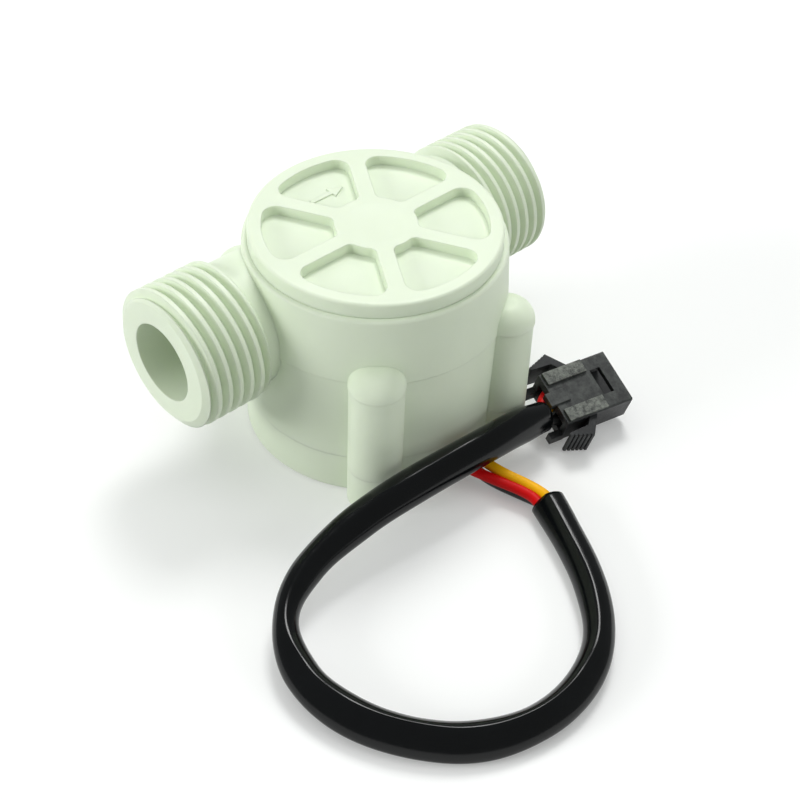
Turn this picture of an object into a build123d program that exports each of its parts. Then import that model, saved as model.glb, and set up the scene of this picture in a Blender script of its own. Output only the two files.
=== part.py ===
from build123d import *
import math
import os

os.makedirs("parts", exist_ok=True)

# Water flow sensor, in millimetres.
# The origin is the centre of the drum's underside, the pipe ports run along X and the cover faces +Z.

# Drum heights above the surface that it stands on
joint_z = 6.6
dry_depth = 2.4
chamber_floor = 2.0
parting_z = 21.4
rim_z = 32.1

# Drum radii, with the draft that lets the moulding leave its tool
drum_r = 18.9
parting_draft = 0.5
rim_draft = 0.1
parting_step = 0.15
rim_round = 0.5

# Walls of the wet chamber and of the dry compartment
chamber_wall = 3.2
dry_wall = 3.5

# Pipe ports with a half inch parallel pipe thread
port_reach = 32.5
port_offset = 7.0
port_z = 22.0
bore_r = 5.9
bore_depth = 15.0
jet_r = 4.6
thread_major_r = 10.4775
thread_pitch = 25.4 / 14
thread_depth = 1.162
thread_length = 11.6
thread_land = 0.62
thread_root = 0.26
thread_shoulder = 0.8
lead_length = 0.95
lead_drop = 1.45
neck_relief = 0.015

# Screw bosses round the drum
boss_overhang = 0.7
boss_angles = (-130, -56, 50, 124)
boss_r = 4.05
boss_top_z = 24.6
boss_dome = 3.1
pilot_r = 1.1
pilot_top_z = 16.0

# Spoked cover
cover_thickness = 2.3
cover_web = 1.4
cover_ledge = 0.8
cover_seat_clearance = 0.1
cover_edge_round = 0.45
cover_band = 2.0
pocket_inner_r = 5.9
pocket_depth = 1.6
pocket_outer_round = 2.0
pocket_inner_round = 1.1
rib_count = 6
rib_width = 2.4
arrow_y = 10.8
arrow_tail_x = -2.8
arrow_neck_x = 0.9
arrow_tip_x = 3.1
arrow_shaft_width = 0.7
arrow_head_width = 2.2
arrow_height = 0.2
dimple_r = 4.4
dimple_depth = 0.15
spigot_depth = 3.1
spigot_wall = 2.6
spigot_clearance = 0.1
seal_section = 1.3
seal_squeeze = 0.05
seal_groove_width = 1.6
seal_groove_drop = 0.7

# Rotor and the shaft that it spins on
shaft_r = 1.0
shaft_hold = 2.2
shaft_tip_gap = 0.1
running_clearance = 0.04
end_float = 0.15
shaft_boss_r = 2.6
lower_boss = 1.0
upper_boss = 3.9
upper_hold = 3.3
hub_r = 4.6
hub_setback = 0.15
bush_r = 2.0
bush_length = 4.0
carrier_r = 9.0
carrier_height = 4.0
blade_count = 8
blade_tip_gap = 1.2
blade_thickness = 1.1
blade_bow = 1.3
blade_top_gap = 1.6
magnet_inner_r = 5.2
magnet_outer_r = 7.8
magnet_height = 2.6

# Base cover
base_inset = 0.05
base_floor = 1.8
base_edge = 0.35
screw_clearance = 0.55
screw_head_r = 2.6
screw_head_height = 1.6
screw_recess = 2.4
screw_recess_clearance = 0.2
screw_grip = 7.5
drive_slot_width = 0.6
drive_slot_length = 3.0
drive_slot_depth = 0.8
gasket_margin = 0.8
gasket_width = 1.2
gasket_depth = 0.5

# Circuit board and its parts
board_length = 22.0
board_width = 17.0
board_thickness = 1.2
board_z = 6.0
board_corner = 1.5
pillar_inset = 2.2
pillar_r = 1.5
pin_r = 0.6
pin_clearance = 0.05
pin_head_r = 1.0
pin_head_height = 0.4
hall_x = 6.5
hall_length = 3.0
hall_width = 4.1
hall_height = 1.4
hall_chamfer = 0.25
lead_pitch = 1.27
lead_width = 0.45
lead_thickness = 0.35
lead_run = 1.6
chip_length = 2.0
chip_width = 1.25
chip_x = -3.5
capacitor_y = 3.0
capacitor_height = 0.9
resistor_y = -1.5
resistor_height = 0.55
solder_length = 1.6
solder_width = 1.3
solder_drop = 1.8
pad_y = -7.0

# Wires and their grommet in the base cover
wire_r = 0.75
wire_pitch = 1.6
wire_pad_z = 4.9
exit_z = 3.7
exit_width = 5.8
exit_height = 2.4
exit_corner = 0.8
grommet_clearance = 0.05
grommet_proud = 0.3
grommet_set_in = 3.85
flange_thickness = 1.0
flange_lap = 0.5

# Black sleeve that lies in a loop in front of the drum
sleeve_r = 2.25
plug_entry = 0.2

# Plug on the end of the wires, turned and rolled as it lies on one latch
plug_origin = (16.0, -22.45, 7.15)
plug_yaw = -12.0
plug_roll = 18.3
plug_length = 11.6
plug_width = 9.0
plug_height = 5.0
plug_edge_round = 0.3
socket_width = 7.3
socket_height = 3.3
socket_depth = 6.0
contact_pitch = 2.5
cavity_size = 2.0
cavity_depth = 5.0
window_width = 4.4
window_length = 1.8
window_from_front = 2.0
rail_start = 0.4
rail_length = 6.8
rail_width = 2.1
rail_height = 0.45
key_length = 2.4
key_width = 2.2
key_height = 0.3
hood_reach = 1.0
hood_depth = 0.9
latch_root_front = 5.3
latch_root_rear = 3.9
latch_elbow_x = 3.0
latch_reach = 3.0
latch_tip_x = -0.7
latch_tip_reach = 1.7
latch_thickness = 0.45
latch_arm = 1.9
latch_overlap = 0.5
latch_top_drop = 0.4
guard_reach = 1.9
guard_width = 1.1
guard_height = 1.6
latch_ridges = 6
latch_ridge_profile = ((0.0, 0.0), (0.55, 0.0), (0.7, 0.25), (0.9, 0.25))
crimp_start = 3.4
crimp_r = 0.8
contact_r = 0.45
contact_clearance = 0.05
contact_reach = 3.0


def polar_point(radius, angle):
    return (radius * math.cos(math.radians(angle)), radius * math.sin(math.radians(angle)))


drum_parting_r = drum_r + parting_draft
drum_rim_r = drum_r - rim_draft
chamber_r = drum_rim_r - chamber_wall
dry_r = drum_r - dry_wall
dry_top_z = joint_z + dry_depth
chamber_floor_z = dry_top_z + chamber_floor
boss_circle_r = drum_r + boss_overhang
boss_points = [polar_point(boss_circle_r, angle) for angle in boss_angles]
cover_r = drum_rim_r - cover_ledge
cover_top_z = rim_z + cover_thickness

# Thread groove, swept along a helix and longer than the thread at both ends
port_root = port_reach - thread_length - chamber_r / 2
thread_minor_r = thread_major_r - thread_depth
neck_r = thread_minor_r - neck_relief
groove_flank = (thread_pitch - thread_land - thread_root) / 2
groove_over = 0.3
groove_mouth = thread_root / 2 + groove_flank * (thread_depth + groove_over) / thread_depth

with BuildPart() as thread_groove:
    with BuildLine() as groove_path:
        Helix(
            pitch=thread_pitch,
            height=thread_length + 2 * thread_pitch,
            radius=thread_minor_r,
            center=(-thread_pitch, 0, 0),
            direction=(1, 0, 0),
        )
    groove_start = groove_path.line @ 0
    groove_heading = groove_path.line % 0
    with BuildSketch(Plane(origin=groove_start, x_dir=(1, 0, 0), z_dir=groove_heading)):
        with BuildLine():
            Polyline(
                (-thread_root / 2, 0),
                (thread_root / 2, 0),
                (groove_mouth, thread_depth + groove_over),
                (-groove_mouth, thread_depth + groove_over),
                close=True,
            )
        make_face()
    sweep(path=groove_path.line, is_frenet=True)

# One threaded port, lying along X with the start of its thread at the origin
with BuildPart() as threaded_port:
    with BuildSketch(Plane.YZ.offset(-port_root)):
        Circle(thread_major_r)
    extrude(amount=port_root + thread_length + 3 * thread_pitch)
    add(thread_groove.part, mode=Mode.SUBTRACT)
    with BuildSketch(Plane.XY):
        with BuildLine():
            Polyline(
                (-port_root, 0),
                (-port_root, neck_r),
                (0, neck_r),
                (thread_shoulder, thread_major_r),
                (thread_length - lead_length, thread_major_r),
                (thread_length, thread_major_r - lead_drop),
                (thread_length, 0),
                close=True,
            )
        make_face()
    revolve(axis=Axis.X, mode=Mode.INTERSECT)

# One domed screw boss, standing on the joint with the base cover
with BuildPart() as screw_boss:
    with BuildSketch(Plane.XY.offset(joint_z)):
        Circle(boss_r - parting_step)
    extrude(amount=parting_z - joint_z)
    with BuildSketch(Plane.XY.offset(parting_z)):
        Circle(boss_r)
    extrude(amount=boss_top_z - parting_z)
    fillet(screw_boss.edges().sort_by(Axis.Z)[-1], boss_dome)

# Housing: drum, ports and bosses in one moulding
thread_start_x = port_reach - thread_length
outlet_plane = Plane(origin=(thread_start_x, port_offset, port_z), x_dir=(1, 0, 0), z_dir=(0, 0, 1))
inlet_plane = Plane(origin=(-thread_start_x, port_offset, port_z), x_dir=(-1, 0, 0), z_dir=(0, 0, 1))

with BuildPart() as body:
    with BuildSketch(Plane.XZ):
        with BuildLine():
            Polyline(
                (0, joint_z),
                (drum_r, joint_z),
                (drum_parting_r - parting_step, parting_z),
                (drum_parting_r, parting_z),
                (drum_rim_r, rim_z),
                (0, rim_z),
                close=True,
            )
        make_face()
    revolve(axis=Axis.Z)
    fillet(body.edges().group_by(Axis.Z)[-1], rim_round)
    with Locations(*boss_points):
        add(screw_boss.part)
    with Locations(outlet_plane, inlet_plane):
        add(threaded_port.part)
    # The cover's seat trims what the round ports raise above the rim
    with BuildSketch(Plane.XY.offset(rim_z)):
        Circle(cover_r + cover_seat_clearance)
    extrude(amount=cover_thickness, mode=Mode.SUBTRACT)
    with BuildSketch(Plane.XY.offset(chamber_floor_z)):
        Circle(chamber_r)
    extrude(amount=rim_z - chamber_floor_z, mode=Mode.SUBTRACT)
    with BuildSketch(Plane.XY.offset(chamber_floor_z)):
        Circle(shaft_boss_r)
    extrude(amount=lower_boss)
    with BuildSketch(Plane.XY.offset(chamber_floor_z + lower_boss)):
        Circle(shaft_r)
    extrude(amount=-shaft_hold, mode=Mode.SUBTRACT)
    with BuildSketch(Plane.YZ.offset(-port_reach)):
        with Locations((port_offset, port_z)):
            Circle(jet_r)
    extrude(amount=2 * port_reach, mode=Mode.SUBTRACT)
    for side in (1, -1):
        with BuildSketch(Plane.YZ.offset(side * port_reach)):
            with Locations((port_offset, port_z)):
                Circle(bore_r)
        extrude(amount=-side * bore_depth, mode=Mode.SUBTRACT)
    with BuildSketch(Plane.XY.offset(joint_z)):
        Circle(dry_r)
    extrude(amount=dry_depth, mode=Mode.SUBTRACT)
    with BuildSketch(Plane.XY.offset(joint_z)):
        with Locations(*boss_points):
            Circle(pilot_r)
    extrude(amount=pilot_top_z - joint_z, mode=Mode.SUBTRACT)

# Spoked cover, welded to the rim, with a spigot for the seal and a boss for the shaft
spigot_r = chamber_r - spigot_clearance
spigot_inner_r = spigot_r - spigot_wall
seal_groove_r = chamber_r - seal_section + 2 * seal_squeeze
seal_top_z = rim_z - seal_groove_drop
upper_boss_z = rim_z - upper_boss
shaft_top_z = upper_boss_z + upper_hold
dimple_curve_r = (dimple_r**2 + dimple_depth**2) / (2 * dimple_depth)

with BuildPart() as top_cover:
    with BuildSketch(Plane.XY.offset(rim_z)):
        Circle(cover_r)
    extrude(amount=cover_thickness)
    fillet(top_cover.edges().group_by(Axis.Z)[-1], cover_edge_round)
    with BuildSketch(Plane.XY.offset(cover_top_z)) as pockets:
        Circle(cover_r - cover_band)
        Circle(pocket_inner_r, mode=Mode.SUBTRACT)
        with PolarLocations(0, rib_count):
            Rectangle(cover_r, rib_width, align=(Align.MIN, Align.CENTER), mode=Mode.SUBTRACT)
        pocket_corners = pockets.vertices().sort_by_distance((0, 0, cover_top_z))
        fillet(pocket_corners[: 2 * rib_count], pocket_inner_round)
        pocket_corners = pockets.vertices().sort_by_distance((0, 0, cover_top_z))
        fillet(pocket_corners[-2 * rib_count :], pocket_outer_round)
    extrude(amount=-pocket_depth, mode=Mode.SUBTRACT)
    # A raised arrow on one pocket's floor shows which way the water runs
    with BuildSketch(Plane.XY.offset(cover_top_z - pocket_depth)):
        with BuildLine():
            Polyline(
                (arrow_tail_x, arrow_y - arrow_shaft_width / 2),
                (arrow_neck_x, arrow_y - arrow_shaft_width / 2),
                (arrow_neck_x, arrow_y - arrow_head_width / 2),
                (arrow_tip_x, arrow_y),
                (arrow_neck_x, arrow_y + arrow_head_width / 2),
                (arrow_neck_x, arrow_y + arrow_shaft_width / 2),
                (arrow_tail_x, arrow_y + arrow_shaft_width / 2),
                close=True,
            )
        make_face()
    extrude(amount=arrow_height)
    with Locations((0, 0, cover_top_z - dimple_depth + dimple_curve_r)):
        Sphere(dimple_curve_r, mode=Mode.SUBTRACT)
    with BuildSketch(Plane.XZ):
        with BuildLine():
            Polyline(
                (0, rim_z),
                (0, rim_z - cover_web),
                (spigot_inner_r, rim_z - cover_web),
                (spigot_inner_r, rim_z - spigot_depth),
                (spigot_r, rim_z - spigot_depth),
                (spigot_r, seal_top_z - seal_groove_width),
                (seal_groove_r, seal_top_z - seal_groove_width),
                (seal_groove_r, seal_top_z),
                (spigot_r, seal_top_z),
                (spigot_r, rim_z),
                close=True,
            )
        make_face()
    revolve(axis=Axis.Z)
    with BuildSketch(Plane.XY.offset(upper_boss_z)):
        Circle(shaft_boss_r)
    extrude(amount=upper_boss)
    with BuildSketch(Plane.XY.offset(upper_boss_z)):
        Circle(shaft_r)
    extrude(amount=upper_hold + shaft_tip_gap, mode=Mode.SUBTRACT)

# Seal ring squeezed between the cover's spigot and the chamber wall
with BuildPart() as cover_o_ring:
    with BuildSketch(Plane.XZ):
        with Locations(((chamber_r + seal_groove_r) / 2, seal_top_z - seal_groove_width / 2)):
            Circle(seal_section / 2)
    revolve(axis=Axis.Z)

# Rotor with curved blades over the magnet's carrier
blade_tip_r = chamber_r - blade_tip_gap
rotor_base_z = chamber_floor_z + lower_boss + end_float
rotor_top_z = upper_boss_z - end_float
carrier_top_z = rotor_base_z + carrier_height
blade_top_z = rim_z - spigot_depth - blade_top_gap
blade_root_r = (hub_r + bush_r) / 2

with BuildPart() as rotor:
    with BuildSketch(Plane.XY.offset(rotor_base_z + hub_setback)):
        Circle(carrier_r)
    extrude(amount=carrier_height - hub_setback)
    with BuildSketch(Plane.XY.offset(carrier_top_z)):
        Circle(hub_r)
    extrude(amount=rotor_top_z - hub_setback - carrier_top_z)
    with BuildSketch(Plane.XY.offset(carrier_top_z)):
        with BuildLine():
            for index in range(blade_count):
                angle = index * 360 / blade_count
                SagittaArc(polar_point(blade_root_r, angle), polar_point(blade_tip_r, angle), blade_bow)
        trace(line_width=blade_thickness)
        Circle(blade_tip_r, mode=Mode.INTERSECT)
    extrude(amount=blade_top_z - carrier_top_z)
    with BuildSketch(Plane.XY.offset(rotor_base_z + hub_setback)):
        Circle(magnet_outer_r)
        Circle(magnet_inner_r, mode=Mode.SUBTRACT)
    extrude(amount=magnet_height, mode=Mode.SUBTRACT)
    with BuildSketch(Plane.XY.offset(rotor_base_z)):
        Circle(bush_r)
    extrude(amount=rotor_top_z - rotor_base_z, mode=Mode.SUBTRACT)

with BuildPart() as rotor_magnet:
    with BuildSketch(Plane.XY.offset(rotor_base_z + hub_setback)):
        Circle(magnet_outer_r)
        Circle(magnet_inner_r, mode=Mode.SUBTRACT)
    extrude(amount=magnet_height)

with BuildPart() as lower_bush:
    with BuildSketch(Plane.XY.offset(rotor_base_z)):
        Circle(bush_r)
        Circle(shaft_r + running_clearance, mode=Mode.SUBTRACT)
    extrude(amount=bush_length)

with BuildPart() as upper_bush:
    with BuildSketch(Plane.XY.offset(rotor_top_z)):
        Circle(bush_r)
        Circle(shaft_r + running_clearance, mode=Mode.SUBTRACT)
    extrude(amount=-bush_length)

shaft_bottom_z = chamber_floor_z + lower_boss - shaft_hold + shaft_tip_gap
with BuildPart() as rotor_shaft:
    with BuildSketch(Plane.XY.offset(shaft_bottom_z)):
        Circle(shaft_r)
    extrude(amount=shaft_top_z - shaft_bottom_z)

# Base cover with its ears, wire exit and the pillars that carry the circuit board
base_r = drum_r - base_inset
gasket_inner_r = dry_r + gasket_margin
gasket_outer_r = gasket_inner_r + gasket_width
board_top_z = board_z + board_thickness
pillar_pitch_x = board_length - 2 * pillar_inset
pillar_pitch_y = board_width - 2 * pillar_inset
screw_hole_r = pilot_r + screw_clearance

with BuildPart() as base_cover:
    with BuildSketch(Plane.XY):
        Circle(base_r)
        with Locations(*boss_points):
            Circle(boss_r - parting_step)
    extrude(amount=joint_z)
    chamfer(base_cover.edges().group_by(Axis.Z)[0], base_edge)
    with BuildSketch(Plane.XY.offset(base_floor)):
        Circle(dry_r)
    extrude(amount=joint_z - base_floor, mode=Mode.SUBTRACT)
    with BuildSketch(Plane.XY.offset(joint_z)):
        Circle(gasket_outer_r)
        Circle(gasket_inner_r, mode=Mode.SUBTRACT)
    extrude(amount=-gasket_depth, mode=Mode.SUBTRACT)
    with BuildSketch(Plane.XY):
        with Locations(*boss_points):
            Circle(screw_hole_r)
    extrude(amount=joint_z, mode=Mode.SUBTRACT)
    with BuildSketch(Plane.XY):
        with Locations(*boss_points):
            Circle(screw_head_r + screw_recess_clearance)
    extrude(amount=screw_recess, mode=Mode.SUBTRACT)
    with BuildSketch(Plane.XZ.offset(base_r)):
        with Locations((0, exit_z)):
            RectangleRounded(exit_width, exit_height, exit_corner)
    extrude(amount=-2 * dry_wall, mode=Mode.SUBTRACT)
    with BuildSketch(Plane.XY.offset(base_floor)):
        with GridLocations(pillar_pitch_x, pillar_pitch_y, 2, 2):
            Circle(pillar_r)
    extrude(amount=board_z - base_floor)
    with BuildSketch(Plane.XY.offset(board_z)):
        with GridLocations(pillar_pitch_x, pillar_pitch_y, 2, 2):
            Circle(pin_r)
    extrude(amount=board_thickness)
    with BuildSketch(Plane.XY.offset(board_top_z)):
        with GridLocations(pillar_pitch_x, pillar_pitch_y, 2, 2):
            Circle(pin_head_r)
    extrude(amount=pin_head_height)

with BuildPart() as base_gasket:
    with BuildSketch(Plane.XY.offset(joint_z)):
        Circle(gasket_outer_r)
        Circle(gasket_inner_r, mode=Mode.SUBTRACT)
    extrude(amount=-gasket_depth)

# Four screws, pushed up through the ears into the bosses
with BuildPart() as base_screws:
    with BuildSketch(Plane.XY.offset(screw_recess - screw_head_height)):
        with Locations(*boss_points):
            Circle(screw_head_r)
    extrude(amount=screw_head_height)
    with BuildSketch(Plane.XY.offset(screw_recess)):
        with Locations(*boss_points):
            Circle(pilot_r)
    extrude(amount=joint_z - screw_recess + screw_grip)
    with BuildSketch(Plane.XY.offset(screw_recess - screw_head_height)):
        with Locations(*boss_points):
            Rectangle(drive_slot_length, drive_slot_width)
            Rectangle(drive_slot_width, drive_slot_length)
    extrude(amount=drive_slot_depth, mode=Mode.SUBTRACT)

# Circuit board with the solder joints of the three wires under it
with BuildPart() as circuit_board:
    with BuildSketch(Plane.XY.offset(board_z)):
        RectangleRounded(board_length, board_width, board_corner)
        with GridLocations(pillar_pitch_x, pillar_pitch_y, 2, 2):
            Circle(pin_r + pin_clearance, mode=Mode.SUBTRACT)
    extrude(amount=board_thickness)
    with BuildSketch(Plane.XY.offset(board_z)):
        with GridLocations(wire_pitch, 0, 3, 1):
            with Locations((0, pad_y)):
                Rectangle(solder_width, solder_length)
    extrude(amount=-solder_drop)

with BuildPart() as hall_sensor:
    with BuildSketch(Plane.XY.offset(board_top_z)):
        with Locations((hall_x, 0)):
            Rectangle(hall_length, hall_width)
    extrude(amount=hall_height)
    chamfer(hall_sensor.edges().group_by(Axis.Z)[-1], hall_chamfer)
    lead_root_x = hall_x - hall_length / 2
    with BuildSketch(*[Plane.XZ.offset(step * lead_pitch) for step in (-1, 0, 1)]):
        with BuildLine():
            Polyline(
                (lead_root_x, board_top_z + hall_height / 2),
                (lead_root_x - lead_run / 2, board_top_z + hall_height / 2),
                (lead_root_x - lead_run / 2, board_top_z + lead_thickness / 2),
                (lead_root_x - lead_run, board_top_z + lead_thickness / 2),
            )
        trace(line_width=lead_thickness)
    extrude(amount=lead_width / 2, both=True)

with BuildPart() as capacitor:
    with BuildSketch(Plane.XY.offset(board_top_z)):
        with Locations((chip_x, capacitor_y)):
            Rectangle(chip_length, chip_width)
    extrude(amount=capacitor_height)

with BuildPart() as resistor:
    with BuildSketch(Plane.XY.offset(board_top_z)):
        with Locations((chip_x, resistor_y)):
            Rectangle(chip_length, chip_width)
    extrude(amount=resistor_height)

# Rubber grommet that fills the wire exit, with a flange inside the wall
grommet_width = exit_width - 2 * grommet_clearance
grommet_height = exit_height - 2 * grommet_clearance
grommet_inner_y = base_r - grommet_set_in
with BuildPart() as wire_grommet:
    with BuildSketch(Plane.XZ.offset(grommet_inner_y)):
        with Locations((0, exit_z)):
            RectangleRounded(grommet_width, grommet_height, exit_corner)
    extrude(amount=base_r + grommet_proud - grommet_inner_y)
    with BuildSketch(Plane.XZ.offset(grommet_inner_y)):
        with Locations((0, exit_z)):
            RectangleRounded(exit_width + 2 * flange_lap, exit_height + 2 * flange_lap, exit_corner)
    extrude(amount=-flange_thickness)
    with BuildSketch(Plane.XZ.offset(base_r + grommet_proud)):
        with GridLocations(wire_pitch, 0, 3, 1):
            with Locations((0, exit_z)):
                Circle(wire_r)
    extrude(amount=-base_r, mode=Mode.SUBTRACT)


def cord_radii(points):
    """The largest tangent arcs that two neighbouring runs leave room for, one for each corner."""
    radii = []
    for before, corner, after in zip(points, points[1:], points[2:]):
        arriving = Vector(*corner) - Vector(*before)
        leaving = Vector(*after) - Vector(*corner)
        half_turn = math.radians(arriving.get_angle(leaving) / 2)
        radii.append(0.45 * min(arriving.length, leaving.length) / math.tan(half_turn))
    return radii


def cord_tube(label, points, radius):
    """A round tube along the points, printed with its arcs and with its volume against its length."""
    radii = cord_radii(points)
    with BuildPart(mode=Mode.PRIVATE) as tube:
        with BuildLine():
            route = FilletPolyline(*points, radius=radii)
        with BuildSketch(Plane(origin=route @ 0, z_dir=route % 0)):
            Circle(radius)
        sweep(path=route)
    expected = math.pi * radius**2 * route.length
    print(label, "length", round(route.length, 2), "arcs", [round(value, 1) for value in radii])
    print(label, "volume against section times length", round(tube.part.volume / expected, 4))
    return tube.part


# Plug housing, drawn on its top face with X from the wires to the mating end
yaw = math.radians(plug_yaw)
roll = math.radians(plug_roll)
plug_forward = Vector(math.cos(yaw), math.sin(yaw), 0)
plug_left = Vector(-math.sin(yaw) * math.cos(roll), math.cos(yaw) * math.cos(roll), math.sin(roll))
plug_plane = Plane(origin=plug_origin, x_dir=plug_forward, z_dir=plug_forward.cross(plug_left))
cavity_z = -plug_height / 2
cavity_ys = (contact_pitch, 0, -contact_pitch)


def plug_point(along, across, up):
    """A point of the plug's own frame, as a point of the whole sensor."""
    return tuple(plug_plane.from_local_coords(Vector(along, across, up)))


# One latch arm in plan: it leaves the side, turns back and ends beyond the wires' face
latch_elbow = Vector(latch_elbow_x, plug_width / 2 + latch_reach)
latch_tip = Vector(latch_tip_x, plug_width / 2 + latch_tip_reach)
latch_flank = latch_tip - latch_elbow
latch_inward = Vector(-latch_flank.Y, latch_flank.X).normalized()
latch_outline = [
    Vector(latch_root_front, plug_width / 2 - latch_overlap),
    Vector(latch_root_front, plug_width / 2),
]
for index in range(latch_ridges):
    for share, depth in latch_ridge_profile:
        along_flank = latch_flank * ((index + share) / latch_ridges)
        latch_outline.append(latch_elbow + along_flank + latch_inward * depth)
latch_outline += [
    latch_tip,
    latch_tip + Vector(latch_thickness, -latch_thickness),
    latch_elbow - Vector(0, latch_arm),
    Vector(latch_root_rear, plug_width / 2),
    Vector(latch_root_rear, plug_width / 2 - latch_overlap),
]

with BuildPart() as plug_housing:
    with BuildSketch(plug_plane):
        Rectangle(plug_length, plug_width, align=(Align.MIN, Align.CENTER))
    extrude(amount=-plug_height)
    fillet(plug_housing.edges().filter_by(Axis(plug_origin, plug_forward)), plug_edge_round)
    with BuildSketch(plug_plane):
        for side in (1, -1):
            with Locations((rail_start, side * (plug_width - rail_width - plug_edge_round) / 2)):
                Rectangle(rail_length, rail_width, align=(Align.MIN, Align.CENTER))
    extrude(amount=rail_height)
    with BuildSketch(plug_plane.offset(key_height)):
        with Locations((-hood_reach, 0)):
            Rectangle(hood_reach + key_length, key_width, align=(Align.MIN, Align.CENTER))
    extrude(amount=-key_height - hood_depth)
    with BuildSketch(plug_plane.offset(-latch_top_drop)):
        for side in (1, -1):
            with BuildLine():
                Polyline(*[(point.X, side * point.Y) for point in latch_outline], close=True)
            make_face()
    extrude(amount=latch_top_drop - plug_height)
    # Two small guards behind the housing keep the wires clear of the latches
    with BuildSketch(plug_plane.offset(guard_height - plug_height)):
        for side in (1, -1):
            with Locations((latch_overlap, side * (plug_width - guard_width) / 2)):
                Rectangle(guard_reach + latch_overlap, guard_width, align=(Align.MAX, Align.CENTER))
    extrude(amount=-guard_height)
    with BuildSketch(plug_plane.offset(cavity_z + socket_height / 2)):
        with Locations((plug_length, 0)):
            Rectangle(socket_depth, socket_width, align=(Align.MAX, Align.CENTER))
    extrude(amount=-socket_height, mode=Mode.SUBTRACT)
    with BuildSketch(plug_plane):
        with Locations((plug_length - window_from_front, 0)):
            Rectangle(window_length, window_width, align=(Align.MAX, Align.CENTER))
    extrude(amount=cavity_z, mode=Mode.SUBTRACT)
    with BuildSketch(plug_plane.offset(cavity_z + cavity_size / 2)):
        with GridLocations(0, contact_pitch, 1, 3):
            Rectangle(cavity_depth, cavity_size, align=(Align.MIN, Align.CENTER))
    extrude(amount=-cavity_size, mode=Mode.SUBTRACT)
    with BuildSketch(Plane(origin=plug_point(crimp_start, 0, cavity_z), x_dir=plug_left, z_dir=plug_forward)):
        with GridLocations(contact_pitch, 0, 3, 1):
            Circle(contact_r + contact_clearance)
    extrude(amount=plug_length - socket_depth, mode=Mode.SUBTRACT)


def plug_terminal(across):
    """A crimped barrel in its cavity, with a round pin that reaches into the socket."""
    with BuildPart(mode=Mode.PRIVATE) as terminal:
        with BuildSketch(Plane(origin=plug_point(crimp_start, across, cavity_z), z_dir=plug_forward)):
            Circle(crimp_r)
        extrude(amount=cavity_depth - crimp_start)
        with BuildSketch(Plane(origin=plug_point(cavity_depth, across, cavity_z), z_dir=plug_forward)):
            Circle(contact_r)
        extrude(amount=plug_length - socket_depth - cavity_depth + contact_reach)
    return terminal.part


# Route of the black sleeve round its loop, from the drum's wires to the plug
sleeve_points = [
    (4.4, -34.0, 2.3),
    (1.6, -41.4, 2.3),
    (-2.5, -49.1, 2.3),
    (-8.2, -55.6, 2.3),
    (-15.3, -59.7, 2.3),
    (-23.8, -59.9, 2.3),
    (-32.1, -56.9, 2.3),
    (-38.9, -51.3, 2.3),
    (-42.9, -43.9, 2.4),
    (-42.9, -35.2, 2.8),
    (-39.1, -26.9, 3.8),
    (-31.9, -22.3, 5.2),
    (-21.5, -20.9, 7.0),
    (-12.3, -21.9, 8.4),
    (1.3, -22.9, 8.0),
    (8.1, -23.3, 7.2),
    (11.9, -23.0, 6.0),
]

# Routes of the wires from their solder joints, out through the grommet and into the sleeve
solder_y = pad_y - solder_length / 2
red_points = [
    (-wire_pitch, solder_y, wire_pad_z),
    (-wire_pitch, -9.8, wire_pad_z),
    (-wire_pitch, -13.4, exit_z),
    (-wire_pitch, -20.6, exit_z),
    (0.8, -25.6, 2.8),
    (2.95, -30.4, 2.45),
    (2.95, -33.45, 2.45),
]
yellow_points = [
    (wire_pitch, solder_y, wire_pad_z),
    (wire_pitch, -9.8, wire_pad_z),
    (wire_pitch, -13.4, exit_z),
    (wire_pitch, -20.0, exit_z),
    (3.9, -24.9, 2.9),
    (4.7, -30.8, 2.7),
    (4.45, -34.0, 2.7),
]
black_points = [
    (0, solder_y, wire_pad_z),
    (0, -9.8, wire_pad_z),
    (0, -13.4, exit_z),
    (0, -20.0, exit_z),
    (1.5, -23.6, 0.85),
    (3.35, -29.6, 0.8),
    (3.45, -33.62, 0.9),
]

# Short ends of the wires, side by side from the sleeve's end into the plug
sleeve_end = Vector(*sleeve_points[-1])
sleeve_heading = sleeve_end - Vector(*sleeve_points[-2])
sleeve_across = Vector(0, 0, 1).cross(sleeve_heading).normalized()
wire_ends = []
for side, across in zip((1, 0, -1), cavity_ys):
    wire_ends.append(
        [
            tuple(sleeve_end + sleeve_across * (side * wire_pitch)),
            plug_point(-plug_entry, across, cavity_z),
            plug_point(crimp_start, across, cavity_z),
        ]
    )

cable_sleeve = cord_tube("cable_sleeve", sleeve_points, sleeve_r)
wire_red = cord_tube("wire_red", red_points, wire_r) + cord_tube("red end", wire_ends[0], wire_r)
wire_yellow = cord_tube("wire_yellow", yellow_points, wire_r) + cord_tube("yellow end", wire_ends[1], wire_r)
wire_black = cord_tube("wire_black", black_points, wire_r) + cord_tube("black end", wire_ends[2], wire_r)

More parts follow.
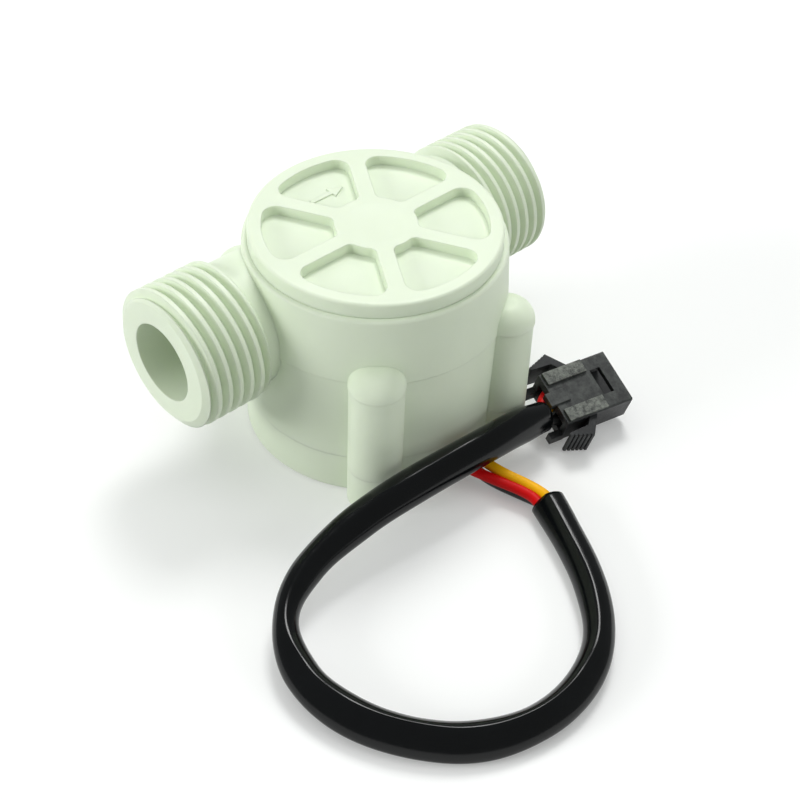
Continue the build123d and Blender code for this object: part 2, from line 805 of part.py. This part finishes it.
pieces = {
    "body": body.part,
    "top_cover": top_cover.part,
    "cover_o_ring": cover_o_ring.part,
    "rotor": rotor.part,
    "rotor_magnet": rotor_magnet.part,
    "lower_bush": lower_bush.part,
    "upper_bush": upper_bush.part,
    "rotor_shaft": rotor_shaft.part,
    "base_cover": base_cover.part,
    "base_gasket": base_gasket.part,
    "base_screws": base_screws.part,
    "circuit_board": circuit_board.part,
    "hall_sensor": hall_sensor.part,
    "capacitor": capacitor.part,
    "resistor": resistor.part,
    "wire_grommet": wire_grommet.part,
    "wire_red": wire_red,
    "wire_yellow": wire_yellow,
    "wire_black": wire_black,
    "cable_sleeve": cable_sleeve,
    "plug_housing": plug_housing.part,
    "terminal_red": plug_terminal(cavity_ys[0]),
    "terminal_yellow": plug_terminal(cavity_ys[1]),
    "terminal_black": plug_terminal(cavity_ys[2]),
}
for name, piece in pieces.items():
    piece.label = name
    export_step(piece, f"parts/{name}.step")
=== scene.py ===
import math

import bmesh
import bpy
from mathutils import Matrix, Vector


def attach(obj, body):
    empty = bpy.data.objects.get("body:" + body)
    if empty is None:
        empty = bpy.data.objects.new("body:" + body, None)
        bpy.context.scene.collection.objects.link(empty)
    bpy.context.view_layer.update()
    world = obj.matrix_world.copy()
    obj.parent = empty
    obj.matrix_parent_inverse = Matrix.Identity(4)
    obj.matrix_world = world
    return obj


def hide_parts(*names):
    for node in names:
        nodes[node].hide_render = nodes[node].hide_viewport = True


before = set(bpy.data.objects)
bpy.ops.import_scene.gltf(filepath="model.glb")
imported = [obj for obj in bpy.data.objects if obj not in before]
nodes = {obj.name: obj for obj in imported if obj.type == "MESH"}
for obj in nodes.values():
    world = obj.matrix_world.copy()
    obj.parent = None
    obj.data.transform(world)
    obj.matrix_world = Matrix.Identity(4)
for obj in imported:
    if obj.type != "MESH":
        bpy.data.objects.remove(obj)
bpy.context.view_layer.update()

MM = 0.001

# Camera at the photograph's viewpoint, in the frame of the part
camera_azimuth = math.radians(-43.51)
camera_elevation = math.radians(43.11)
camera_roll = math.radians(2.45)
camera_place = Vector((-127.63, -140.83, 178.61)) * MM
focal_px = 1704.24
image_px = 800
sensor_mm = 36.0
clip_near = 0.01
clip_far = 20


def make_camera():
    camera = bpy.data.cameras.new("photo_camera")
    camera.sensor_width = sensor_mm
    camera.lens = focal_px * sensor_mm / image_px
    camera.clip_start = clip_near
    camera.clip_end = clip_far
    holder = bpy.data.objects.new("photo_camera", camera)
    bpy.context.scene.collection.objects.link(holder)
    turn = Matrix.Rotation(camera_azimuth, 4, "Z")
    turn = turn @ Matrix.Rotation(math.pi / 2 - camera_elevation, 4, "X")
    turn = turn @ Matrix.Rotation(camera_roll, 4, "Z")
    holder.matrix_world = Matrix.Translation(camera_place) @ turn
    bpy.context.scene.camera = holder


make_camera()


# Control points of the sleeve's line, in millimetres, from its mouth to the plug
sleeve_route = [
    (3.9, -33.8, 2.3),
    (1.0, -41.4, 2.3),
    (-2.8, -49.0, 2.3),
    (-8.1, -55.7, 2.3),
    (-15.3, -59.6, 2.3),
    (-23.9, -60.4, 2.3),
    (-32.5, -57.3, 2.3),
    (-38.7, -51.1, 2.6),
    (-42.4, -43.7, 2.8),
    (-43.2, -35.3, 3.1),
    (-39.3, -26.7, 3.8),
    (-31.8, -22.9, 5.2),
    (-21.8, -22.2, 7.0),
    (-12.7, -23.0, 8.4),
    (1.0, -23.5, 8.0),
    (8.1, -23.3, 7.2),
    (13.4, -22.9, 5.5),
]
# At each of those points, the roll of the soft sleeve about its line, in degrees
sleeve_rolls = [
    -154, -156, -163, -176, -195, -208, -215, -215, -212, -200, -177, -155, -148, -145, -144, -141, -138,
]
# Its half width there, in millimetres
sleeve_half_widths = [
    2.55, 2.35, 2.3, 2.15, 2.3, 2.35, 2.65, 2.6, 2.65, 2.4, 1.75, 2.2, 2.55, 2.65, 2.6, 2.6, 2.3,
]
# Where the crease along its upper face lies, from -1 outside the loop to 1 inside it
sleeve_creases = [
    -0.2, -0.14, -0.14, 0.04, 0.44, 0.64, 0.63, 0.7, 0.6, 0.45, -0.1, -0.3, -0.22, -0.24, -0.3, -0.28, -0.2,
]
# How sharp that crease is, from 0 for a round upper face to 1 for two flat ones
sleeve_folds = [
    0.2, 0.2, 0.22, 0.24, 0.24, 0.24, 0.22, 0.2, 0.18, 0.15, 0.12, 0.08, 0.06, 0.06, 0.06, 0.06, 0.1,
]
# Measures of the lead, in millimetres
sleeve_half_height = 2.1
sleeve_wall = 0.25
wire_radius = 0.8
# Sections along the sleeve, and points round a quarter of each
sleeve_sections = 260
side_points = 10

# How finely a curve is divided: between two control points, and round its tube
curve_resolution = 16
tube_resolution = 5

# Each wire's control points from its solder joint to the sleeve's mouth, in millimetres
wire_routes = {
    "red": [
        (-1.6, -7.8, 4.9),
        (-1.6, -9.8, 4.9),
        (-1.6, -13.4, 3.7),
        (-1.6, -20.6, 3.7),
        (0.8, -25.6, 2.8),
        (2.95, -30.4, 2.45),
        (2.95, -33.45, 2.45),
    ],
    "yellow": [
        (1.6, -7.8, 4.9),
        (1.6, -9.8, 4.9),
        (1.6, -13.4, 3.7),
        (1.6, -20.0, 3.7),
        (2.1, -25.3, 3.4),
        (4.2, -30.9, 2.9),
        (4.3, -34.0, 2.9),
    ],
    "black": [
        (0, -7.8, 4.9),
        (0, -9.8, 4.9),
        (0, -13.4, 3.7),
        (0, -20.0, 3.7),
        (1.5, -23.6, 0.85),
        (3.35, -29.6, 0.8),
        (4.1, -33.8, 1.5),
    ],
}
# Each wire's place in the sleeve's section: across it and up, in millimetres
wire_places = {"red": (0.78, 0.2), "yellow": (-0.78, 0.2), "black": (0.0, -1.08)}
# The first of the sleeve's control points that the wires follow
first_inside = 2

# The plug's frame: origin at the top rear edge's middle, turned and rolled as it lies
plug_origin = Vector((16.0, -22.45, 7.15))
plug_yaw = math.radians(-12.0)
plug_roll = math.radians(18.3)
contact_pitch = 2.5
plug_height = 5.0
plug_entry = 0.2
crimp_start = 3.4
plug_forward = Vector((math.cos(plug_yaw), math.sin(plug_yaw), 0))
level_left = Vector((-plug_forward.y, plug_forward.x, 0))
plug_left = level_left * math.cos(plug_roll) + Vector((0, 0, math.sin(plug_roll)))
plug_up = plug_forward.cross(plug_left)


def plug_point(along, across, up):
    """A point of the plug's own frame, in millimetres of the whole part."""
    return plug_origin + plug_forward * along + plug_left * across + plug_up * up


def spline_object(name, points_mm, radius_mm=0.0):
    """A smooth open curve drawn by its control points, made a tube if a radius is given."""
    curve = bpy.data.curves.new(name, "CURVE")
    curve.dimensions = "3D"
    curve.resolution_u = curve_resolution
    # The points hold the tube's radius in metres, because a curve's bounds reach out by it
    curve.bevel_depth = 1.0 if radius_mm > 0 else 0.0
    curve.bevel_resolution = tube_resolution
    curve.use_fill_caps = radius_mm > 0
    spline = curve.splines.new("NURBS")
    spline.points.add(len(points_mm) - 1)
    for target, point in zip(spline.points, points_mm):
        target.co = (*(Vector(point) * MM), 1)
        target.radius = radius_mm * MM
    spline.order_u = 3
    spline.use_endpoint_u = True
    piece = bpy.data.objects.new(name, curve)
    bpy.context.scene.collection.objects.link(piece)
    return piece


def spline_line(points_mm):
    """The smooth line of such a curve, as a list of points in metres."""
    guide = spline_object("guide", points_mm)
    bpy.context.view_layer.update()
    shaped = guide.evaluated_get(bpy.context.evaluated_depsgraph_get())
    mesh = bpy.data.meshes.new_from_object(shaped)
    line = [vertex.co.copy() for vertex in mesh.vertices]
    bpy.data.objects.remove(guide)
    bpy.data.meshes.remove(mesh)
    return line


def resample(line, count):
    """Evenly spaced places on a line, and the heading at each."""
    steps = [0.0]
    for before, after in zip(line, line[1:]):
        steps.append(steps[-1] + (after - before).length)
    places = []
    index = 0
    for number in range(count):
        target = steps[-1] * number / (count - 1)
        while index < len(steps) - 2 and steps[index + 1] < target:
            index += 1
        share = (target - steps[index]) / max(steps[index + 1] - steps[index], 1e-9)
        places.append(line[index].lerp(line[index + 1], min(max(share, 0), 1)))
    headings = []
    for number in range(count):
        before = places[max(number - 1, 0)]
        after = places[min(number + 1, count - 1)]
        headings.append((after - before).normalized())
    return places, headings


def point_shares():
    """How far along the sleeve each of its control points lies, from 0 to 1."""
    reach = [0.0]
    for before, after in zip(sleeve_route, sleeve_route[1:]):
        reach.append(reach[-1] + (Vector(after) - Vector(before)).length)
    return [value / reach[-1] for value in reach]


sleeve_shares = point_shares()


def eased_value(values, share):
    """One of the sleeve's lists at a share of its way, eased between the control points."""
    index = 0
    while index < len(values) - 2 and sleeve_shares[index + 1] < share:
        index += 1
    part = (share - sleeve_shares[index]) / (sleeve_shares[index + 1] - sleeve_shares[index])
    part = min(max(part, 0), 1)
    eased = part * part * (3 - 2 * part)
    return values[index] + (values[index + 1] - values[index]) * eased


def section_axes(heading, roll):
    """The directions across the sleeve, towards the inside of its loop, and up through its crease."""
    level = Vector((-heading.y, heading.x, 0)).normalized()
    upright = heading.cross(level)
    wide = level * math.cos(roll) + upright * math.sin(roll)
    return wide, wide.cross(heading)


def section_outline(half_width, half_height, crease, fold):
    """A closed outline of the sleeve: two slack faces that meet in a crease, over a round underside."""
    outline = []
    for side in (-1, 1):
        for step in range(side_points):
            turn = step / side_points if side > 0 else 1 - step / side_points
            reach = math.sin(turn * math.pi / 2)
            across = crease + side * reach * (1 - side * crease)
            rise = (1 - fold) * math.sqrt(max(1 - reach * reach, 0)) + fold * (1 - reach)
            outline.append((across * half_width, rise * half_height))
    for step in range(2 * side_points):
        turn = math.pi * step / (2 * side_points)
        outline.append((math.cos(turn) * half_width, -math.sin(turn) * half_height))
    return outline


def make_rings(form, places, headings, inset):
    """One ring of vertices per section, for the sleeve's outer or inner surface."""
    rings = []
    for number in range(sleeve_sections):
        share = number / (sleeve_sections - 1)
        roll = math.radians(eased_value(sleeve_rolls, share))
        wide, thin = section_axes(headings[number], roll)
        half_width = eased_value(sleeve_half_widths, share) - inset
        crease = eased_value(sleeve_creases, share)
        fold = eased_value(sleeve_folds, share)
        ring = []
        for across, over in section_outline(half_width, sleeve_half_height - inset, crease, fold):
            ring.append(form.verts.new(places[number] + (wide * across + thin * over) * MM))
        rings.append(ring)
    return rings


def bridge(form, before, after, flip):
    """Faces between two rings."""
    count = len(before)
    for step in range(count):
        follow = (step + 1) % count
        face = (before[step], before[follow], after[follow], after[step])
        form.faces.new(tuple(reversed(face)) if flip else face)


def make_sleeve():
    """The slack sleeve as a hollow tube with a wall, open at both ends."""
    line = spline_line(sleeve_route)
    places, headings = resample(line, sleeve_sections)
    mesh = bpy.data.meshes.new("sleeve_tube")
    form = bmesh.new()
    outer = make_rings(form, places, headings, 0)
    inner = make_rings(form, places, headings, sleeve_wall)
    for shell, flip in ((outer, False), (inner, True)):
        for before, after in zip(shell, shell[1:]):
            bridge(form, before, after, flip)
    bridge(form, outer[0], inner[0], True)
    bridge(form, outer[-1], inner[-1], False)
    bmesh.ops.recalc_face_normals(form, faces=form.faces)
    form.to_mesh(mesh)
    form.free()
    mesh.polygons.foreach_set("use_smooth", [True] * len(mesh.polygons))
    piece = bpy.data.objects.new("sleeve_tube", mesh)
    bpy.context.scene.collection.objects.link(piece)
    length = sum((after - before).length for before, after in zip(line, line[1:]))
    return piece, line, length


sleeve, sleeve_line, sleeve_length = make_sleeve()


def inside_sleeve(place):
    """Control points of one wire inside the sleeve, where the three lie in a bundle."""
    points = []
    last = len(sleeve_route) - 1
    for index in range(first_inside, last + 1):
        before = Vector(sleeve_route[index - 1])
        after = Vector(sleeve_route[min(index + 1, last)])
        wide, thin = section_axes((after - before).normalized(), math.radians(sleeve_rolls[index]))
        points.append(Vector(sleeve_route[index]) + wide * place[0] + thin * place[1])
    return points


def make_wire(name, across_plug):
    """One wire from its solder joint through the sleeve into its contact in the plug."""
    points = [Vector(point) for point in wire_routes[name]]
    points += inside_sleeve(wire_places[name])
    for along in (-plug_entry, crimp_start):
        points.append(plug_point(along, across_plug, -plug_height / 2))
    wire = spline_object(f"wire_{name}_cord", points, wire_radius)
    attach(wire, "housing")
    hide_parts(f"wire_{name}")
    line = spline_line(points)
    return wire


red_wire = make_wire("red", contact_pitch)
yellow_wire = make_wire("yellow", 0)
black_wire = make_wire("black", -contact_pitch)

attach(sleeve, "housing")
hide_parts("cable_sleeve")


# Materials


def new_material(name):
    material = bpy.data.materials.new(name)
    material.use_nodes = True
    tree = material.node_tree
    return material, tree, tree.nodes["Principled BSDF"]


def add_node(tree, kind, **values):
    node = tree.nodes.new(kind)
    for key, value in values.items():
        setattr(node, key, value)
    return node


def object_noise(tree, scale, detail, roughness=0.5):
    place = add_node(tree, "ShaderNodeTexCoord")
    noise = add_node(tree, "ShaderNodeTexNoise")
    noise.inputs["Scale"].default_value = scale
    noise.inputs["Detail"].default_value = detail
    noise.inputs["Roughness"].default_value = roughness
    tree.links.new(place.outputs["Object"], noise.inputs["Vector"])
    return noise.outputs["Fac"]


def colour_ramp(tree, factor, stops):
    """A ramp between two colours, each with its place from 0 to 1."""
    ramp = add_node(tree, "ShaderNodeValToRGB")
    tree.links.new(factor, ramp.inputs["Fac"])
    for element, (position, colour) in zip(ramp.color_ramp.elements, stops):
        element.position = position
        element.color = (*colour, 1)
    return ramp.outputs["Color"]


def mapped(tree, factor, low, high):
    span = add_node(tree, "ShaderNodeMapRange")
    span.inputs["To Min"].default_value = low
    span.inputs["To Max"].default_value = high
    tree.links.new(factor, span.inputs["Value"])
    return span.outputs["Result"]


def computed(tree, operation, first, second=None):
    """The result of one operation on one or two values, each a socket or a plain number."""
    node = add_node(tree, "ShaderNodeMath", operation=operation)
    for socket, value in zip(node.inputs, (first, second)):
        if isinstance(value, (int, float)):
            socket.default_value = value
        elif value is not None:
            tree.links.new(value, socket)
    return node.outputs["Value"]


def mixed(tree, factor, first, second):
    """A blend of two colour sockets."""
    mix = add_node(tree, "ShaderNodeMix", data_type="RGBA")
    tree.links.new(factor, mix.inputs["Factor"])
    tree.links.new(first, mix.inputs["A"])
    tree.links.new(second, mix.inputs["B"])
    return mix.outputs["Result"]


def add_bump(tree, height, strength, distance_mm):
    bump = add_node(tree, "ShaderNodeBump")
    bump.inputs["Strength"].default_value = strength
    bump.inputs["Distance"].default_value = distance_mm * MM
    tree.links.new(height, bump.inputs["Height"])
    return bump


def bumped(tree, shader, height, strength, distance_mm, edge_mm):
    """Fine bump over softened edges."""
    edge = add_node(tree, "ShaderNodeBevel")
    edge.inputs["Radius"].default_value = edge_mm * MM
    edge.samples = 8
    bump = add_bump(tree, height, strength, distance_mm)
    tree.links.new(edge.outputs["Normal"], bump.inputs["Normal"])
    tree.links.new(bump.outputs["Normal"], shader.inputs["Normal"])


def scale_colour(colour, share):
    return tuple(min(channel * share, 1.0) for channel in colour)


def spread_stops(colour, spread):
    """Two stops of one colour, a share darker and lighter."""
    return [(0.3, scale_colour(colour, 1 - spread)), (0.7, scale_colour(colour, 1 + spread))]


def moulded(name, colour, roughness, spread=0.05, edge_mm=0.25, subsurface=0.0, coat=0.0):
    """Moulded plastic with a faint mottle, fine surface grain and soft edges."""
    material, tree, shader = new_material(name)
    mottle = object_noise(tree, scale=90, detail=4)
    shade = colour_ramp(tree, mottle, spread_stops(colour, spread))
    tree.links.new(shade, shader.inputs["Base Color"])
    patches = object_noise(tree, scale=260, detail=5)
    wear = mapped(tree, patches, low=roughness - 0.06, high=roughness + 0.08)
    tree.links.new(wear, shader.inputs["Roughness"])
    grain = object_noise(tree, scale=1400, detail=4)
    bumped(tree, shader, grain, strength=0.25, distance_mm=0.02, edge_mm=edge_mm)
    shader.inputs["Subsurface Weight"].default_value = subsurface
    shader.inputs["Subsurface Radius"].default_value = (1.0, 1.0, 0.8)
    shader.inputs["Subsurface Scale"].default_value = 1.2 * MM
    shader.inputs["Coat Weight"].default_value = coat
    return material


housing_plastic = moulded("housing_plastic", (0.755, 0.84, 0.67), 0.45, spread=0.02, subsurface=0.25)
rotor_plastic = moulded("rotor_plastic", (0.78, 0.78, 0.76), 0.4, spread=0.02, edge_mm=0.15)
bush_plastic = moulded("bush_plastic", (0.05, 0.05, 0.055), 0.4, edge_mm=0.1)
rubber = moulded("black_rubber", (0.015, 0.015, 0.015), 0.65, spread=0.3, edge_mm=0.1)
ferrite = moulded("ferrite", (0.035, 0.035, 0.04), 0.7, spread=0.25, edge_mm=0.15)
board = moulded("board_laminate", (0.02, 0.16, 0.05), 0.35, spread=0.1, edge_mm=0.05, coat=0.3)
chip = moulded("chip_black", (0.012, 0.012, 0.013), 0.45, spread=0.2, edge_mm=0.08)
ceramic = moulded("ceramic", (0.32, 0.19, 0.10), 0.4, spread=0.1, edge_mm=0.08)


def plug_axis(tree, place, axis):
    """Distance along one axis of the plug's own frame, in metres from its origin."""
    reach = add_node(tree, "ShaderNodeVectorMath", operation="DOT_PRODUCT")
    reach.inputs[1].default_value = axis
    tree.links.new(place.outputs["Object"], reach.inputs[0])
    return computed(tree, "SUBTRACT", reach.outputs["Value"], plug_origin.dot(axis) * MM)


def step_at(tree, value, start_mm, end_mm):
    """A soft step from 0 to 1 between two distances."""
    span = add_node(tree, "ShaderNodeMapRange", interpolation_type="SMOOTHSTEP")
    span.inputs["From Min"].default_value = start_mm * MM
    span.inputs["From Max"].default_value = end_mm * MM
    tree.links.new(value, span.inputs["Value"])
    return span.outputs["Result"]


# Colours of the plug: its sides, its top painted paler as a painted sheen from the light above, and the
# grain of its raised pads with a still paler painted sheen
plug_plain = [(0.35, (0.010, 0.011, 0.012)), (0.65, (0.020, 0.022, 0.023))]
# Painted sheen of the top face: paler colour standing in for the light from above
plug_top_painted_sheen = [(0.38, (0.018, 0.020, 0.020)), (0.62, (0.060, 0.066, 0.062))]
# Grain of the raised pads, painted paler still as a painted sheen
plug_pad_grain_and_sheen = [(0.38, (0.03, 0.033, 0.030)), (0.62, (0.19, 0.205, 0.18))]


def make_plug_plastic():
    """Black plastic with a painted sheen: paler on top, palest and grainy on the two raised pads."""
    material, tree, shader = new_material("plug_plastic")
    place = add_node(tree, "ShaderNodeTexCoord")
    across = computed(tree, "ABSOLUTE", plug_axis(tree, place, plug_left))
    up = plug_axis(tree, place, plug_up)
    # Mask of the top face, where the painted sheen lies
    top = step_at(tree, up, start_mm=-0.15, end_mm=-0.02)
    raised = step_at(tree, up, start_mm=0.2, end_mm=0.4)
    beside = step_at(tree, across, start_mm=1.9, end_mm=2.3)
    pads = computed(tree, "MULTIPLY", raised, beside)
    side = colour_ramp(tree, object_noise(tree, scale=900, detail=4), plug_plain)
    # Painted sheen: the top face is painted paler, standing in for the light from above
    top_painted_sheen = colour_ramp(tree, object_noise(tree, scale=700, detail=6, roughness=0.7), plug_top_painted_sheen)
    # The raised pads' grain, painted paler still as a painted sheen
    grain = colour_ramp(tree, object_noise(tree, scale=1100, detail=6, roughness=0.75), plug_pad_grain_and_sheen)
    shade = mixed(tree, pads, mixed(tree, top, side, top_painted_sheen), grain)
    tree.links.new(shade, shader.inputs["Base Color"])
    wear = mapped(tree, object_noise(tree, scale=1500, detail=4), low=0.42, high=0.6)
    tree.links.new(wear, shader.inputs["Roughness"])
    texture = object_noise(tree, scale=2200, detail=6, roughness=0.7)
    bumped(tree, shader, texture, strength=0.5, distance_mm=0.05, edge_mm=0.12)
    return material


plug_plastic = make_plug_plastic()


def metal(name, colour, roughness):
    """Plain metal with a faint stain and fine wear."""
    material, tree, shader = new_material(name)
    shader.inputs["Metallic"].default_value = 1.0
    stops = [(0.3, scale_colour(colour, 0.88)), (0.7, colour)]
    shade = colour_ramp(tree, object_noise(tree, scale=600, detail=3), stops)
    tree.links.new(shade, shader.inputs["Base Color"])
    marks = object_noise(tree, scale=1500, detail=4)
    wear = mapped(tree, marks, low=roughness - 0.08, high=roughness + 0.1)
    tree.links.new(wear, shader.inputs["Roughness"])
    grain = object_noise(tree, scale=2600, detail=3)
    bumped(tree, shader, grain, strength=0.2, distance_mm=0.01, edge_mm=0.06)
    return material


steel = metal("steel", (0.62, 0.62, 0.63), 0.3)
tin = metal("tin_plate", (0.72, 0.71, 0.68), 0.32)


def soft_plastic(name, colour, roughness, spread=0.08, gloss=0.5):
    """Glossy insulation with long faint ripples along it and fine handling marks."""
    material, tree, shader = new_material(name)
    mottle = object_noise(tree, scale=220, detail=3)
    shade = colour_ramp(tree, mottle, spread_stops(colour, spread))
    tree.links.new(shade, shader.inputs["Base Color"])
    marks = object_noise(tree, scale=700, detail=4)
    wear = mapped(tree, marks, low=roughness - 0.05, high=roughness + 0.1)
    tree.links.new(wear, shader.inputs["Roughness"])
    shader.inputs["Specular IOR Level"].default_value = gloss
    ripples = object_noise(tree, scale=150, detail=2)
    bump = add_bump(tree, ripples, strength=0.3, distance_mm=0.08)
    tree.links.new(bump.outputs["Normal"], shader.inputs["Normal"])
    return material


sleeve_skin = soft_plastic("sleeve_skin", (0.0025, 0.003, 0.0035), 0.13, spread=0.2, gloss=0.3)
red_skin = soft_plastic("red_insulation", (0.66, 0.003, 0.004), 0.45, gloss=0.2)
yellow_skin = soft_plastic("yellow_insulation", (0.92, 0.46, 0.002), 0.45, gloss=0.2)
black_skin = soft_plastic("black_insulation", (0.008, 0.008, 0.008), 0.3)


def dress(piece, material):
    piece.data.materials.clear()
    piece.data.materials.append(material)


node_materials = {
    "body": housing_plastic,
    "top_cover": housing_plastic,
    "base_cover": housing_plastic,
    "cover_o_ring": rubber,
    "base_gasket": rubber,
    "wire_grommet": rubber,
    "rotor": rotor_plastic,
    "rotor_magnet": ferrite,
    "lower_bush": bush_plastic,
    "upper_bush": bush_plastic,
    "rotor_shaft": steel,
    "base_screws": steel,
    "circuit_board": board,
    "hall_sensor": chip,
    "capacitor": ceramic,
    "resistor": chip,
    "plug_housing": plug_plastic,
    "terminal_red": tin,
    "terminal_yellow": tin,
    "terminal_black": tin,
}
for node_name, material in node_materials.items():
    dress(nodes[node_name], material)
dress(sleeve, sleeve_skin)
dress(red_wire, red_skin)
dress(yellow_wire, yellow_skin)
dress(black_wire, black_skin)


# Floor, light and background

floor_half_width = 6.0
# The floor lies this far under the part, so that the two faces don't meet
floor_drop = 0.00002
# The floor's colour to light that bounces off it, and to rays that show it
floor_bounce = (0.60, 0.61, 0.60, 1)
floor_seen = (0.97, 0.98, 0.97, 1)
# Share of plain white in what is seen of it
floor_lift = 0.2
world_colour = (0.96, 1.0, 0.98, 1)
world_strength = 0.25


def seen_directly(tree):
    """1 for a ray that shows the background itself: camera, glossy and transmission rays."""
    rays = add_node(tree, "ShaderNodeLightPath").outputs
    shown = computed(tree, "MAXIMUM", rays["Is Camera Ray"], rays["Is Glossy Ray"])
    return computed(tree, "MAXIMUM", shown, rays["Is Transmission Ray"])


def make_floor():
    mesh = bpy.data.meshes.new("floor")
    half = floor_half_width
    corners = [(-half, -half, 0), (half, -half, 0), (half, half, 0), (-half, half, 0)]
    mesh.from_pydata(corners, [], [(0, 1, 2, 3)])
    floor = bpy.data.objects.new("floor", mesh)
    bpy.context.scene.collection.objects.link(floor)
    floor.location.z = -floor_drop
    material, tree, shader = new_material("floor_white")
    shader.inputs["Roughness"].default_value = 0.9
    shader.inputs["Specular IOR Level"].default_value = 0.1
    direct = seen_directly(tree)
    seen = add_node(tree, "ShaderNodeMix", data_type="RGBA")
    seen.inputs["A"].default_value = floor_bounce
    seen.inputs["B"].default_value = floor_seen
    tree.links.new(direct, seen.inputs["Factor"])
    tree.links.new(seen.outputs["Result"], shader.inputs["Base Color"])
    white = add_node(tree, "ShaderNodeEmission")
    lift = add_node(tree, "ShaderNodeMixShader")
    tree.links.new(computed(tree, "MULTIPLY", direct, floor_lift), lift.inputs["Fac"])
    tree.links.new(shader.outputs["BSDF"], lift.inputs[1])
    tree.links.new(white.outputs["Emission"], lift.inputs[2])
    tree.links.new(lift.outputs["Shader"], tree.nodes["Material Output"].inputs["Surface"])
    dress(floor, material)


def area_light(name, place, aim, size, power, gloss=True):
    """A rectangular lamp, left out of reflections where gloss is off."""
    lamp = bpy.data.lights.new(name, "AREA")
    lamp.shape = "RECTANGLE"
    lamp.size, lamp.size_y = size
    lamp.energy = power
    holder = bpy.data.objects.new(name, lamp)
    bpy.context.scene.collection.objects.link(holder)
    holder.visible_glossy = gloss
    holder.location = place
    holder.rotation_euler = (Vector(aim) - Vector(place)).to_track_quat("-Z", "Y").to_euler()


def make_world():
    world = bpy.data.worlds.new("studio")
    world.use_nodes = True
    background = world.node_tree.nodes["Background"]
    background.inputs["Color"].default_value = world_colour
    background.inputs["Strength"].default_value = world_strength
    bpy.context.scene.world = world


make_floor()
make_world()
foot = (0, 0, 0)
middle = (0, 0, 0.02)
area_light("overhead", place=(0.0, 0.15, 1.0), aim=foot, size=(1.3, 1.3), power=3.9, gloss=False)
area_light("side", place=(-0.95, 0.4, 0.38), aim=middle, size=(0.5, 0.4), power=6.4, gloss=False)
area_light("front_right", place=(0.5, -0.9, 0.5), aim=middle, size=(0.6, 0.5), power=3.3, gloss=False)
area_light("back", place=(0.42, 0.30, 0.86), aim=foot, size=(0.32, 0.32), power=4.3)

bpy.context.scene.view_settings.view_transform = "Standard"
